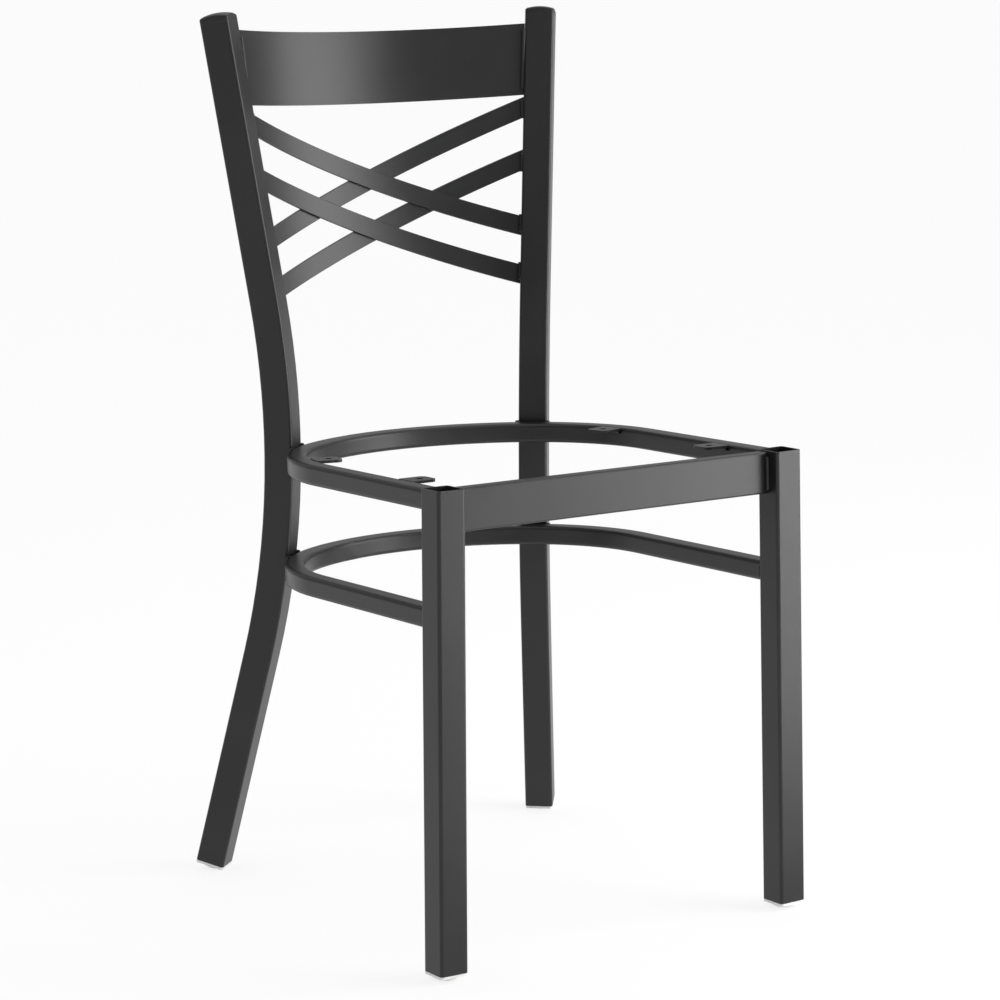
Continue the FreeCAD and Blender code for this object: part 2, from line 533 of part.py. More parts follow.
def seat_tab(name, rear, side):
    """A drilled plate that holds the seat from below, local X towards the hoop."""
    body = new_body(name)
    sketch = new_sketch(body, "XY_Plane", name + "_outline")
    root = "Worked.rear_root" if rear else "Worked.front_root"
    r = value_of(root)
    half = 0.5 * size("tab_width")
    tip = r + 0.15 - size("tab_reach")
    corner = math.sqrt(r * r - half * half) if rear else r
    sketch.addGeometry(Part.LineSegment(V(corner, half, 0), V(tip, half, 0)), False)
    sketch.addGeometry(Part.LineSegment(V(tip, half, 0), V(tip, -half, 0)), False)
    sketch.addGeometry(Part.LineSegment(V(tip, -half, 0), V(corner, -half, 0)), False)
    if rear:
        angle = math.asin(half / r)
        circle = Part.Circle(V(0, 0, 0), V(0, 0, 1), r)
        sketch.addGeometry(Part.ArcOfCircle(circle, -angle, angle), False)
    else:
        sketch.addGeometry(Part.LineSegment(V(corner, -half, 0), V(corner, half, 0)), False)
    sketch.addGeometry(Part.Circle(V(tip + size("tab_hole_in"), 0, 0), V(0, 0, 1), 0.5 * size("tab_hole")), False)
    sketch.addConstraint(Con("Coincident", 0, 2, 1, 1))
    sketch.addConstraint(Con("Coincident", 1, 2, 2, 1))
    sketch.addConstraint(Con("Coincident", 2, 2, 3, 1))
    sketch.addConstraint(Con("Coincident", 3, 2, 0, 1))
    sketch.addConstraint(Con("Horizontal", 0))
    sketch.addConstraint(Con("Horizontal", 2))
    sketch.addConstraint(Con("Symmetric", 0, 2, 1, 2, -1))
    if rear:
        sketch.addConstraint(Con("Coincident", 3, 3, -1, 1))
        bind(sketch, sketch.addConstraint(Con("Radius", 3, r)), root)
    else:
        sketch.addConstraint(Con("Vertical", 3))
        bind(sketch, sketch.addConstraint(Con("DistanceX", -1, 1, 3, 1, r)), root)
    bind(sketch, sketch.addConstraint(Con("DistanceY", 1, 2, 1, 1, 2 * half)), "Sizes.tab_width")
    far = sketch.addConstraint(Con("DistanceX", -1, 1, 1, 1, tip))
    bind(sketch, far, root + " + 0.15 - Sizes.tab_reach")
    sketch.addConstraint(Con("PointOnObject", 4, 3, -1))
    hole = sketch.addConstraint(Con("DistanceX", -1, 1, 4, 3, tip + size("tab_hole_in")))
    bind(sketch, hole, root + " + 0.15 - Sizes.tab_reach + Sizes.tab_hole_in")
    bind(sketch, sketch.addConstraint(Con("Diameter", 4, size("tab_hole"))), "Sizes.tab_hole")
    plate = pad(body, sketch, "Sizes.tab_thick", name + "_plate")
    doc.recompute()
    rounding = body.newObject("PartDesign::Fillet", name + "_tip")
    rounding.Base = (plate, vertical_edges_at(plate.Shape, tip))
    rounding.setExpression("Radius", "Sizes.tab_corner")
    if rear:
        turn = "rotationz(%s)" % ("Sizes.rear_tab_turn" if side > 0 else "180 - Sizes.rear_tab_turn")
        local = moved("%d * Worked.corner_x" % side, "Worked.corner_y", "Worked.tab_floor", turn)
    else:
        turn = "rotationz(%s)" % ("0" if side > 0 else "180")
        local = moved("0", "Sizes.front_tab_back", "Worked.tab_floor", turn)
    body.setExpression("Placement", RING + " * " + local)
    return node(body, name)


def plug(body, name, length, down):
    """The hollow square plug of an insert, in the bore of the tube."""
    sketch = new_sketch(body, "XY_Plane", name + "_plug_section")
    rounded(sketch, "Worked.plug_side", "Worked.plug_side", "Worked.plug_radius")
    rounded(sketch, "Worked.plug_bore", "Worked.plug_bore", "Worked.plug_radius")
    return pad(body, sketch, length, name + "_plug", down)


def spin_feature(kind, body, sketch, name):
    """Turn a sketch all the way round the body's upright axis."""
    feature = body.newObject("PartDesign::" + kind, name)
    feature.Profile = sketch
    feature.ReferenceAxis = (sketch, ["V_Axis"])
    feature.Angle = 360
    return feature


def glide(name, rear, side):
    """A push-in plastic glide, its dome flattened where it stands on the floor."""
    body = new_body(name + "_moulding")
    flange = new_sketch(body, "XY_Plane", name + "_flange_section")
    rounded(flange, "Sizes.tube_side", "Sizes.tube_side", "Sizes.tube_radius")
    pad(body, flange, "Sizes.glide_flange", name + "_flange", True)
    plug(body, name, "Sizes.plug_length", False)
    doc.recompute()
    dome = new_sketch(body, "XZ_Plane", name + "_dome_section")
    r = work("dome_base")
    big = work("dome_radius")
    top = -size("glide_flange")
    low = top - size("glide_dome")
    dome.addGeometry(Part.LineSegment(V(0, low, 0), V(0, top, 0)), False)
    dome.addGeometry(Part.LineSegment(V(0, top, 0), V(r, top, 0)), False)
    circle = Part.Circle(V(0, low + big, 0), V(0, 0, 1), big)
    dome.addGeometry(Part.ArcOfCircle(circle, -math.pi / 2, -math.pi / 2 + math.asin(r / big)), False)
    dome.addConstraint(Con("Coincident", 0, 2, 1, 1))
    dome.addConstraint(Con("Coincident", 1, 2, 2, 2))
    dome.addConstraint(Con("Coincident", 2, 1, 0, 1))
    dome.addConstraint(Con("PointOnObject", 0, 1, -2))
    dome.addConstraint(Con("PointOnObject", 0, 2, -2))
    dome.addConstraint(Con("PointOnObject", 2, 3, -2))
    dome.addConstraint(Con("Horizontal", 1))
    bind(dome, dome.addConstraint(Con("DistanceY", 0, 2, -1, 1, -top)), "Sizes.glide_flange")
    bind(dome, dome.addConstraint(Con("DistanceY", 0, 1, 0, 2, top - low)), "Sizes.glide_dome")
    bind(dome, dome.addConstraint(Con("DistanceX", 1, 1, 1, 2, r)), "Worked.dome_base")
    doc.recompute()
    spin_feature("Revolution", body, dome, name + "_dome")
    if rear:
        stand = "Worked.rear_stand"
        level = "rotationy(Sizes.post_low_lean)"
        where = post_frame(side) + " * " + moved("Worked.low_out", "0", "-Worked.low_down",
                                                 "rotationy(-Sizes.post_low_lean)")
    else:
        stand = "Worked.front_stand"
        level = "rotationy(%d * Sizes.leg_splay) * rotationx(Sizes.leg_rake)" % side
        turn = "rotationx(-Sizes.leg_rake) * rotationy(%d * Sizes.leg_splay)" % -side
        where = moved("%d * Sizes.leg_spacing / 2" % side, "Worked.ring_y", "Sizes.leg_top", turn)
        where += " * " + moved("0", "0", "-Worked.leg_length")
    under = " * ".join([moved("0", "0", "0", level),
                        moved("-Sizes.tube_side", "-Sizes.tube_side", "-Sizes.tube_side - " + stand)])
    floor = box(name + "_floor", "2 * Sizes.tube_side", "2 * Sizes.tube_side", "Sizes.tube_side", under)
    result = boolean("Cut", name, body, floor)
    result.setExpression("Placement", where)
    return node(result, name)


def post_cap(name, side):
    """A push-in plastic cap with a low crown."""
    body = new_body(name)
    head = new_sketch(body, "XY_Plane", name + "_head_section")
    rounded(head, "Sizes.tube_side", "Sizes.tube_side", "Sizes.tube_radius")
    pad(body, head, "Sizes.cap_height", name + "_head")
    plug(body, name, "Sizes.cap_plug", True)
    doc.recompute()
    crown = new_sketch(body, "XZ_Plane", name + "_crown_section")
    top = size("cap_height")
    fall = size("cap_crown")
    reach = 0.75 * size("tube_side")
    big = (reach ** 2 + fall ** 2) / (2 * fall)
    circle = Part.Circle(V(0, top - big, 0), V(0, 0, 1), big)
    crown.addGeometry(Part.ArcOfCircle(circle, math.pi / 2 - math.asin(reach / big), math.pi / 2), False)
    crown.addGeometry(Part.LineSegment(V(0, top, 0), V(0, top + 2, 0)), False)
    crown.addGeometry(Part.LineSegment(V(0, top + 2, 0), V(reach, top + 2, 0)), False)
    crown.addGeometry(Part.LineSegment(V(reach, top + 2, 0), V(reach, top - fall, 0)), False)
    crown.addConstraint(Con("Coincident", 0, 2, 1, 1))
    crown.addConstraint(Con("Coincident", 1, 2, 2, 1))
    crown.addConstraint(Con("Coincident", 2, 2, 3, 1))
    crown.addConstraint(Con("Coincident", 3, 2, 0, 1))
    crown.addConstraint(Con("PointOnObject", 0, 3, -2))
    crown.addConstraint(Con("PointOnObject", 1, 1, -2))
    crown.addConstraint(Con("Vertical", 1))
    crown.addConstraint(Con("Horizontal", 2))
    crown.addConstraint(Con("Vertical", 3))
    bind(crown, crown.addConstraint(Con("DistanceY", -1, 1, 1, 1, top)), "Sizes.cap_height")
    bind(crown, crown.addConstraint(Con("DistanceY", 1, 1, 1, 2, 2)), "2")
    bind(crown, crown.addConstraint(Con("DistanceX", 2, 1, 2, 2, reach)), "0.75 * Sizes.tube_side")
    bind(crown, crown.addConstraint(Con("DistanceY", 3, 2, 1, 1, fall)), "Sizes.cap_crown")
    doc.recompute()
    groove = spin_feature("Groove", body, crown, name + "_crown")
    doc.recompute()
    rim = []
    for number, edge in enumerate(groove.Shape.Edges, 1):
        middle = edge.valueAt(0.5 * (edge.FirstParameter + edge.LastParameter))
        ends = [vertex.Point.z for vertex in edge.Vertexes]
        if min(ends) > 0.1 and middle.z > 0.1 and abs(max(ends) - min(ends)) < 0.9:
            rim.append("Edge%d" % number)
    rounding = body.newObject("PartDesign::Fillet", name + "_rim")
    rounding.Base = (groove, rim)
    rounding.setExpression("Radius", "Sizes.cap_round")
    where = moved("Worked.up_out", "0", "Worked.up_high", "rotationy(Sizes.post_up_lean)")
    body.setExpression("Placement", post_frame(side) + " * " + where)
    return node(body, name)


legs = {}
posts = {}
for side_name, side in SIDES:
    legs[side_name] = front_leg("front_leg_" + side_name, side)
for side_name, side in SIDES:
    posts[side_name] = rear_post("rear_post_" + side_name, side)
for side_name, side in SIDES:
    post_cap("post_cap_" + side_name, side)
rail = front_rail("front_rail")
seat_hoop = hoop("seat_hoop", "Worked.seat_start", "Worked.seat_bend_y", "Worked.hoop_mid")
low_hoop = hoop("stretcher_hoop", "Worked.low_start", "Worked.low_bend_y",
                "Worked.hoop_mid + Sizes.hoop_step")
panel = top_panel("top_panel")
slats = [slat("front_slat_upper", "front_upper", -1, True), slat("front_slat_lower", "front_lower", -1, True),
         slat("rear_slat_upper", "rear_upper", 1, False), slat("rear_slat_lower", "rear_lower", 1, False)]
tabs = []
for place, rear in (("front", False), ("rear", True)):
    for side_name, side in SIDES:
        tabs.append(seat_tab("seat_tab_%s_%s" % (place, side_name), rear, side))
for place, rear in (("front", False), ("rear", True)):
    for side_name, side in SIDES:
        glide("glide_%s_%s" % (place, side_name), rear, side)
doc.recompute()

# The origin goes under the middle of the finished frame.
low_y = min(piece.Shape.optimalBoundingBox(False, False).YMin for piece in NODES)
high_y = max(piece.Shape.optimalBoundingBox(False, False).YMax for piece in NODES)
worked.set("B1", "%.4f" % (-0.5 * (low_y + high_y)))
doc.recompute()

# Weld beads are short rods laid in the joint corners and cut back to the pieces they join.
# None lies on top of the seat hoop, the rail or the tabs, where the seat rests.
ring = FreeCAD.Placement(V(0, work("ring_y"), size("leg_top")), FreeCAD.Rotation(V(1, 0, 0), -size("ring_slope")))
back = FreeCAD.Placement(V(0, work("back_y") + work("ring_y"), size("frame_top")),
                         FreeCAD.Rotation(V(1, 0, 0), -work("back_lean")))
bead_out = size("bead_out")


def bead(name, start, end):
    """A rod from start to end."""
    rod = doc.addObject("Part::Cylinder", name)
    rod.setExpression("Radius", "Sizes.bead_radius")
    rod.Height = (end - start).Length
    rod.Placement = FreeCAD.Placement(start, FreeCAD.Rotation(V(0, 0, 1), end - start))
    return rod


def weld_group(name, lines, pieces):
    """The beads of one kind of joint, cut back to the pieces."""
    rods = [bead("%s_rod_%d" % (name, i), start, end) for i, (start, end) in enumerate(lines, 1)]
    group = doc.addObject("Part::Compound", name + "_rods")
    group.Links = rods
    for i, piece in enumerate(pieces, 1):
        last = i == len(pieces)
        group = boolean("Cut", name if last else "%s_cut_%d" % (name, i), group, piece)
    return node(group, name)


def ring_line(a, b):
    """A line given in the ring's own frame."""
    return ring.multVec(V(*a)), ring.multVec(V(*b))


def mirrored(lines):
    """The lines and their mirror images across the middle of the chair."""
    return lines + [(V(-a.x, a.y, a.z), V(-b.x, b.y, b.z)) for a, b in lines]


half_leg = 0.5 * size("leg_spacing")
half_tube = 0.5 * size("tube_side")
splay = math.tan(math.radians(size("leg_splay")))
rail_front = -half_tube + size("rail_setback")
rail_back = rail_front + size("rail_depth")
rail_low = -(size("rail_drop") + size("rail_height"))
lines = []
for y in (rail_front - bead_out, rail_back + bead_out):
    top_x = half_leg - half_tube - bead_out
    lines.append(ring_line((top_x, y, -size("rail_drop") - 4), (top_x - rail_low * splay, y, rail_low + 4)))
rail_welds = weld_group("rail_welds", mirrored(lines), [rail, legs["left"], legs["right"]])

side_half = 0.5 * size("hoop_side")
lines = []
for start, drop in ((work("seat_start"), work("hoop_mid")),
                    (work("low_start"), work("hoop_mid") + size("hoop_step"))):
    y = start + bead_out
    reach = side_half - size("hoop_radius")
    under = -side_half - bead_out - drop
    lines.append(ring_line((half_leg - reach, y, under), (half_leg + reach, y, under)))
    for x in (side_half + bead_out, -side_half - bead_out):
        lines.append(ring_line((half_leg + x, y, -reach - drop), (half_leg + x, y, reach - drop)))
hoop_leg_welds = weld_group("hoop_leg_welds", mirrored(lines),
                            [seat_hoop, low_hoop, legs["left"], legs["right"]])

outward = V(work("turn_sin"), work("turn_cos"), 0)
across = V(work("turn_cos"), -work("turn_sin"), 0)
lines = []
for back_y, drop in ((0, work("hoop_mid")), (work("back_two"), work("hoop_mid") + size("hoop_step"))):
    centre = V(work("bend_x"), work("bend_y") + back_y, -drop)
    post_mid = V(work("post_x"), work("post_y"), 0)
    for s in (-1, 1):
        ends = []
        for z in (-side_half + size("hoop_radius"), side_half - size("hoop_radius")):
            level = ring.multVec(centre + V(0, 0, z))
            offset = (V(post_mid.x - level.x, post_mid.y + work("ring_y") - level.y, 0)).dot(across)
            t = offset + s * (half_tube + bead_out)
            r = work("touch_radius") + bead_out
            depth = math.sqrt(r * r - t * t)
            ends.append(V(level.x, level.y, level.z) + across * t + outward * depth)
        lines.append((ends[0], ends[1]))
hoop_post_welds = weld_group("hoop_post_welds", mirrored(lines),
                             [seat_hoop, low_hoop, posts["left"], posts["right"]])


def end_point(height, radius):
    """Where a sheet of one plan radius meets the right post's inner face, in the back's frame."""
    lean = math.radians(work("back_lean"))
    tangent = work("turn_sin") / work("turn_cos")
    x = work("inner_x")
    for step in range(30):
        w = work("back_centre") + math.sqrt(radius ** 2 - x ** 2)
        x = work("inner_x") + (w * math.cos(lean) + height * math.sin(lean)) * tangent
    return V(x, w, height)


def sheet_beads(heights, inner, outer, out):
    """Beads on both faces of a sheet piece where it meets the right post."""
    result = []
    for radius in (inner - out, outer + out):
        ends = []
        for height in heights:
            point = end_point(height, radius)
            ends.append(back.multVec(point - V(out, 0, 0)))
        result.append((ends[0], ends[1]))
    return result


lines = []
bend = size("back_bend")
panel_half = 0.5 * size("panel_thick")
panel_top = -size("panel_drop") - 6
panel_low = -(size("panel_drop") + size("panel_height")) + 6
lines = sheet_beads((panel_low, panel_top), bend - panel_half, bend + panel_half, bead_out)
panel_welds = weld_group("panel_welds", mirrored(lines), [panel, posts["left"], posts["right"]])

lines = []
gap = 0.5 * size("slat_gap")
thick = size("slat_thick")
for row, high_side, inner in (("front_upper", -1, bend - gap - thick), ("front_lower", -1, bend - gap - thick),
                              ("rear_upper", 1, bend + gap), ("rear_lower", 1, bend + gap)):
    tilt = math.radians(work(row + "_tilt"))
    reach = 0.5 * size("slat_width") / math.cos(tilt) - 1
    for end, level in ((high_side, size(row + "_high")), (-high_side, size(row + "_low"))):
        pair = sheet_beads((-level - reach, -level + reach), inner, inner + thick, bead_out)
        if end < 0:
            pair = [(V(-a.x, a.y, a.z), V(-b.x, b.y, b.z)) for a, b in pair]
        lines.extend(pair)
slat_welds = weld_group("slat_welds", lines, slats + [posts["left"], posts["right"]])

tab_half = 0.5 * size("tab_width") - 1.5
tab_top = -(size("hoop_drop") + size("tab_drop"))
tab_low = tab_top - size("tab_thick")
x = work("front_root") - bead_out
y = size("front_tab_back")
z = tab_low - bead_out
lines = [ring_line((x, y - tab_half, z), (x, y + tab_half, z))]
turn = math.radians(size("rear_tab_turn"))
r = work("rear_root") - bead_out - 0.3
middle = V(work("corner_x") + r * math.cos(turn), work("corner_y") + r * math.sin(turn), z)
along = V(-math.sin(turn), math.cos(turn), 0) * tab_half
lines.append((ring.multVec(middle - along), ring.multVec(middle + along)))
tab_welds = weld_group("tab_welds", mirrored(lines), tabs + [seat_hoop])
doc.recompute()

for obj in doc.Objects:
    if "Invalid" in obj.State or "Error" in obj.State:
        raise RuntimeError("%s did not compute: %s" % (obj.Name, obj.State))
for piece in NODES:
    shape = piece.Shape
    if shape.isNull() or not shape.isValid() or not shape.Solids:
        raise RuntimeError("%s has no sound shape" % piece.Label)
    if not piece.Label.endswith("_welds") and len(shape.Solids) != 1:
        raise RuntimeError("%s is in %d pieces" % (piece.Label, len(shape.Solids)))
    shape.exportStep("parts/%s.step" % piece.Label)
    print("%-24s %3d solid(s) %10.1f mm3" % (piece.Label, len(shape.Solids), shape.Volume))
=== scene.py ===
"""Looks of a cross back chair frame: black powder coated steel, no seat pad.

The frame stands on its four glides with its front towards -Y. Left and right
are as seen from the front, so left is -X. Every length is in metres.
"""

import logging
import math
import random
from dataclasses import dataclass
from enum import Enum
from typing import Iterable, Sequence, Union

import bmesh
import bpy
import numpy as np
from mathutils import Matrix, Vector


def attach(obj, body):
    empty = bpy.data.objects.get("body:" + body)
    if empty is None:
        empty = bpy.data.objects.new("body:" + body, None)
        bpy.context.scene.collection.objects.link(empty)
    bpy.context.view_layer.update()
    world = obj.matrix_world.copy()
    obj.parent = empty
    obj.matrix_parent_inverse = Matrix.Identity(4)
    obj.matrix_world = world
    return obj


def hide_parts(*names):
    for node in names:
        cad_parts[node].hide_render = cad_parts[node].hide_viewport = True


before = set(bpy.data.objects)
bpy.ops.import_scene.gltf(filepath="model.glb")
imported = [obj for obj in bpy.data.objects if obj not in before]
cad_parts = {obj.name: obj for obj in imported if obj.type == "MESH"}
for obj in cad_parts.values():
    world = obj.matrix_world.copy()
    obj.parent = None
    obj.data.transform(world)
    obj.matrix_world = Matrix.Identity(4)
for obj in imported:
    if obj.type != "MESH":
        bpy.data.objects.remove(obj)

log = logging.getLogger("chair")

MM = 0.001
BODY = "root"
FIRST_SEED = 11

Colour = tuple[float, float, float]
Number = Union[int, float]


def unit(vector: Vector) -> Vector:
    """Return the vector at length one."""
    return vector / vector.length


def opaque(colour: Colour) -> tuple[float, float, float, float]:
    """Return the colour with a full alpha."""
    return (*colour, 1.0)


class Signal:
    """One output socket of a material, with Python arithmetic on it."""

    def __init__(self, bench: "NodeBench", socket: bpy.types.NodeSocket) -> None:
        """Keep the bench that makes nodes and the socket that is wrapped.

        Args:
            bench: the node bench of the material.
            socket: the output socket.
        """
        self.bench = bench
        self.socket = socket

    def _maths(self, operation: str, *values: "Signal | Number", clamp: bool = False) -> "Signal":
        """Add one Math node.

        Args:
            operation: name of the Math node's operation.
            values: what goes in its sockets, in order.
            clamp: whether the result stays between 0 and 1.

        Returns:
            The node's result.
        """
        made = self.bench.node("ShaderNodeMath", {"operation": operation, "use_clamp": clamp},
                               dict(enumerate(values)))
        return self.bench.out(made, 0)

    def __add__(self, other: "Signal | Number") -> "Signal":
        """Return self + other."""
        return self._maths("ADD", self, other)

    def __radd__(self, other: Number) -> "Signal":
        """Return other + self."""
        return self._maths("ADD", other, self)

    def __sub__(self, other: "Signal | Number") -> "Signal":
        """Return self - other."""
        return self._maths("SUBTRACT", self, other)

    def __rsub__(self, other: Number) -> "Signal":
        """Return other - self."""
        return self._maths("SUBTRACT", other, self)

    def __mul__(self, other: "Signal | Number") -> "Signal":
        """Return self * other."""
        return self._maths("MULTIPLY", self, other)

    def __rmul__(self, other: Number) -> "Signal":
        """Return other * self."""
        return self._maths("MULTIPLY", other, self)

    def clamped(self) -> "Signal":
        """Return the value held between 0 and 1."""
        return self._maths("ADD", self, 0.0, clamp=True)

    def step(self, low: float, high: float) -> "Signal":
        """Fade smoothly from 0 to 1.

        Args:
            low: value at which the result starts to rise; it may be above high.
            high: value at which the result is 1.

        Returns:
            A value between 0 and 1.
        """
        flip = low > high
        made = self.bench.node("ShaderNodeMapRange", {"interpolation_type": "SMOOTHSTEP"},
                               {"Value": self, "From Min": min(low, high), "From Max": max(low, high),
                                "To Min": float(flip), "To Max": float(not flip)})
        return self.bench.out(made, "Result")


class NodeBench:
    """Adds nodes to one node tree, always by the same method."""

    def __init__(self, tree: bpy.types.NodeTree) -> None:
        """Empty the tree and keep it.

        Args:
            tree: the node tree of a material or of the world.
        """
        self.tree = tree
        tree.nodes.clear()

    def node(self, kind: str, settings: dict | None = None, inputs: dict | None = None) -> bpy.types.Node:
        """Add a node.

        Args:
            kind: type of the node.
            settings: its settings, which are put in first.
            inputs: values or links of its sockets, by name or number.

        Returns:
            The node.
        """
        made = self.tree.nodes.new(kind)
        for name, value in (settings or {}).items():
            setattr(made, name, value)
        for name, value in (inputs or {}).items():
            if isinstance(value, Signal):
                self.tree.links.new(value.socket, made.inputs[name])
            else:
                made.inputs[name].default_value = value
        return made

    def out(self, made: bpy.types.Node, name: str | int = 0) -> Signal:
        """Wrap an output socket of a node."""
        return Signal(self, made.outputs[name])

    def place(self) -> Signal:
        """Return the Object coordinates."""
        return self.out(self.node("ShaderNodeTexCoord"), "Object")

    def noise(self, place: Signal, per_metre: float, detail: float = 2.0, rough: float = 0.5) -> Signal:
        """Add a noise.

        Args:
            place: coordinates it reads.
            per_metre: number of features in a metre.
            detail: octaves of finer noise.
            rough: strength of the finer octaves.

        Returns:
            A value around 0.5.
        """
        made = self.node("ShaderNodeTexNoise", {"noise_dimensions": "3D"},
                         {"Vector": place, "Scale": per_metre, "Detail": detail, "Roughness": rough})
        return self.out(made, "Fac")

    def blend(self, factor: Signal, low: "Colour | Signal", high: "Colour | Signal") -> Signal:
        """Mix two colours.

        Args:
            factor: 0 for the first colour, 1 for the second.
            low: first colour.
            high: second colour.

        Returns:
            The mixed colour.
        """
        made = self.node("ShaderNodeMix", {"data_type": "RGBA", "clamp_factor": True}, {0: factor})
        for number, value in ((6, low), (7, high)):
            if isinstance(value, Signal):
                self.tree.links.new(value.socket, made.inputs[number])
            else:
                made.inputs[number].default_value = opaque(value)
        return self.out(made, 2)

    def axis(self, vector: Signal, number: int) -> Signal:
        """Return one component of a vector."""
        return self.out(self.node("ShaderNodeSeparateXYZ", None, {0: vector}), number)

    def edges(self, radius: float, samples: int) -> Signal:
        """Find where the surface turns a corner within a small distance.

        Args:
            radius: distance from the corner that still counts.
            samples: rays of the search.

        Returns:
            0 on flat ground, rising towards a corner.
        """
        eased = self.out(self.node("ShaderNodeBevel", {"samples": samples}, {"Radius": radius}), "Normal")
        true = self.out(self.node("ShaderNodeNewGeometry"), "Normal")
        made = self.node("ShaderNodeVectorMath", {"operation": "DOT_PRODUCT"}, {0: eased, 1: true})
        return 1.0 - self.out(made, "Value")

    def bump(self, height: Signal, depth: float, strength: float = 1.0) -> Signal:
        """Turn a height into a normal.

        Args:
            height: height map, 0 to 1.
            depth: depth in metres of a height of 1.
            strength: share of the effect.

        Returns:
            The normal.
        """
        made = self.node("ShaderNodeBump", None, {"Height": height, "Distance": depth, "Strength": strength})
        return self.out(made, "Normal")

    def surface(self, inputs: dict) -> None:
        """Finish the material with one Principled shader.

        Args:
            inputs: values or links of the shader's sockets.
        """
        self.finish(self.out(self.node("ShaderNodeBsdfPrincipled", None, inputs)))

    def finish(self, shader: Signal) -> None:
        """Put a shader on the material's output."""
        self.node("ShaderNodeOutputMaterial", None, {"Surface": shader})


def new_bench(name: str) -> tuple[bpy.types.Material, NodeBench]:
    """Make an empty node material.

    Args:
        name: name of the material.

    Returns:
        The material and its bench.
    """
    material = bpy.data.materials.new(name)
    material.use_nodes = True
    return material, NodeBench(material.node_tree)


@dataclass(frozen=True)
class PowderCoat:
    """Satin black powder coat: fine orange peel, slow drift of film and gloss, and edges painted lighter, partly for
    the thinner coat there and partly as a painted highlight along the rounded corners.
    """

    name: str = "frame_powder_coat"
    deep: Colour = (0.0085, 0.0085, 0.0092)
    thin: Colour = (0.017, 0.017, 0.018)
    # Lighter edge colour: partly thinner coat, partly a painted highlight along the corners.
    edge_thin_coat_and_highlight: Colour = (0.045, 0.045, 0.047)
    roughness: float = 0.36
    specular: float = 0.42
    peel_per_metre: float = 620.0
    peel_depth: float = 0.000016
    grain_per_metre: float = 2400.0
    grain_depth: float = 0.000004
    drift_per_metre: float = 9.0
    edge_radius: float = 0.0011

    def material(self) -> bpy.types.Material:
        """Build the material."""
        material, bench = new_bench(self.name)
        place = bench.place()
        drift = bench.noise(place, self.drift_per_metre, 3.0)
        peel = bench.noise(place, self.peel_per_metre, 2.0, 0.45)
        grain = bench.noise(place, self.grain_per_metre, 1.0)
        edge_patches = bench.noise(place, 140.0, 4.0, 0.6)
        corner = bench.edges(self.edge_radius, 6)
        # Mask of the lighter edges, broken into patches by a noise: partly thinner coat, partly a painted highlight.
        thin_coat_and_highlight_mask = (corner.step(0.03, 0.22) * edge_patches.step(0.42, 0.66) * 0.75).clamped()
        coat = bench.blend(drift.step(0.35, 0.7) * 0.6 + grain.step(0.5, 0.8) * 0.4, self.deep, self.thin)
        gloss = self.roughness + (drift - 0.5) * 0.10 + (grain - 0.5) * 0.10 - thin_coat_and_highlight_mask * 0.06
        relief = peel + grain * (self.grain_depth / self.peel_depth)
        bench.surface({
            # The edges take the lighter colour: thinner coat and painted highlight.
            "Base Color": bench.blend(thin_coat_and_highlight_mask, coat, self.edge_thin_coat_and_highlight),
            "Roughness": gloss,
            "Specular IOR Level": self.specular,
            "Normal": bench.bump(relief, self.peel_depth),
        })
        return material


@dataclass(frozen=True)
class CapPlastic:
    """Moulded black plastic with a fine spark texture."""

    name: str = "cap_moulding"
    black: Colour = (0.010, 0.010, 0.010)
    # Colour the cap takes towards its edges.
    lighter_edge: Colour = (0.032, 0.032, 0.033)
    roughness: float = 0.44
    texture_per_metre: float = 1500.0
    texture_depth: float = 0.00003

    def material(self) -> bpy.types.Material:
        """Build the material."""
        material, bench = new_bench(self.name)
        place = bench.place()
        texture = bench.noise(place, self.texture_per_metre, 2.0, 0.6)
        drift = bench.noise(place, 60.0, 3.0)
        # Lighter towards the edges, in patches set by a slow noise.
        lighter_edge_mask = (bench.edges(0.0012, 6).step(0.02, 0.2) * drift.step(0.4, 0.62)).clamped()
        bench.surface({
            "Base Color": bench.blend(lighter_edge_mask * 0.7 + texture * 0.15, self.black, self.lighter_edge),
            "Roughness": self.roughness + (drift - 0.5) * 0.12 - lighter_edge_mask * 0.08,
            "Specular IOR Level": 0.4,
            "Normal": bench.bump(texture, self.texture_depth),
        })
        return material


@dataclass(frozen=True)
class GlidePlastic:
    """Natural white plastic of the glides, a little see-through, scuffed where it slides."""

    name: str = "glide_moulding"
    white: Colour = (0.86, 0.86, 0.84)
    milky: Colour = (0.76, 0.77, 0.76)
    scuffed: Colour = (0.42, 0.41, 0.38)
    roughness: float = 0.38
    sole: float = 0.0016

    def material(self) -> bpy.types.Material:
        """Build the material."""
        material, bench = new_bench(self.name)
        place = bench.place()
        cloud = bench.noise(place, 130.0, 3.0)
        scratch = bench.noise(place, 900.0, 4.0, 0.65)
        height = bench.axis(place, 2)
        sole = (height.step(self.sole, 0.0003) * scratch.step(0.38, 0.6)).clamped()
        body = bench.blend(cloud.step(0.35, 0.7), self.white, self.milky)
        bench.surface({
            "Base Color": bench.blend(sole * 0.8, body, self.scuffed),
            "Roughness": self.roughness + (cloud - 0.5) * 0.15 + sole * 0.25,
            "Subsurface Weight": 0.4,
            "Subsurface Radius": (0.004, 0.004, 0.004),
            "Subsurface Scale": 1.0,
            "Normal": bench.bump(scratch, 0.00003),
        })
        return material


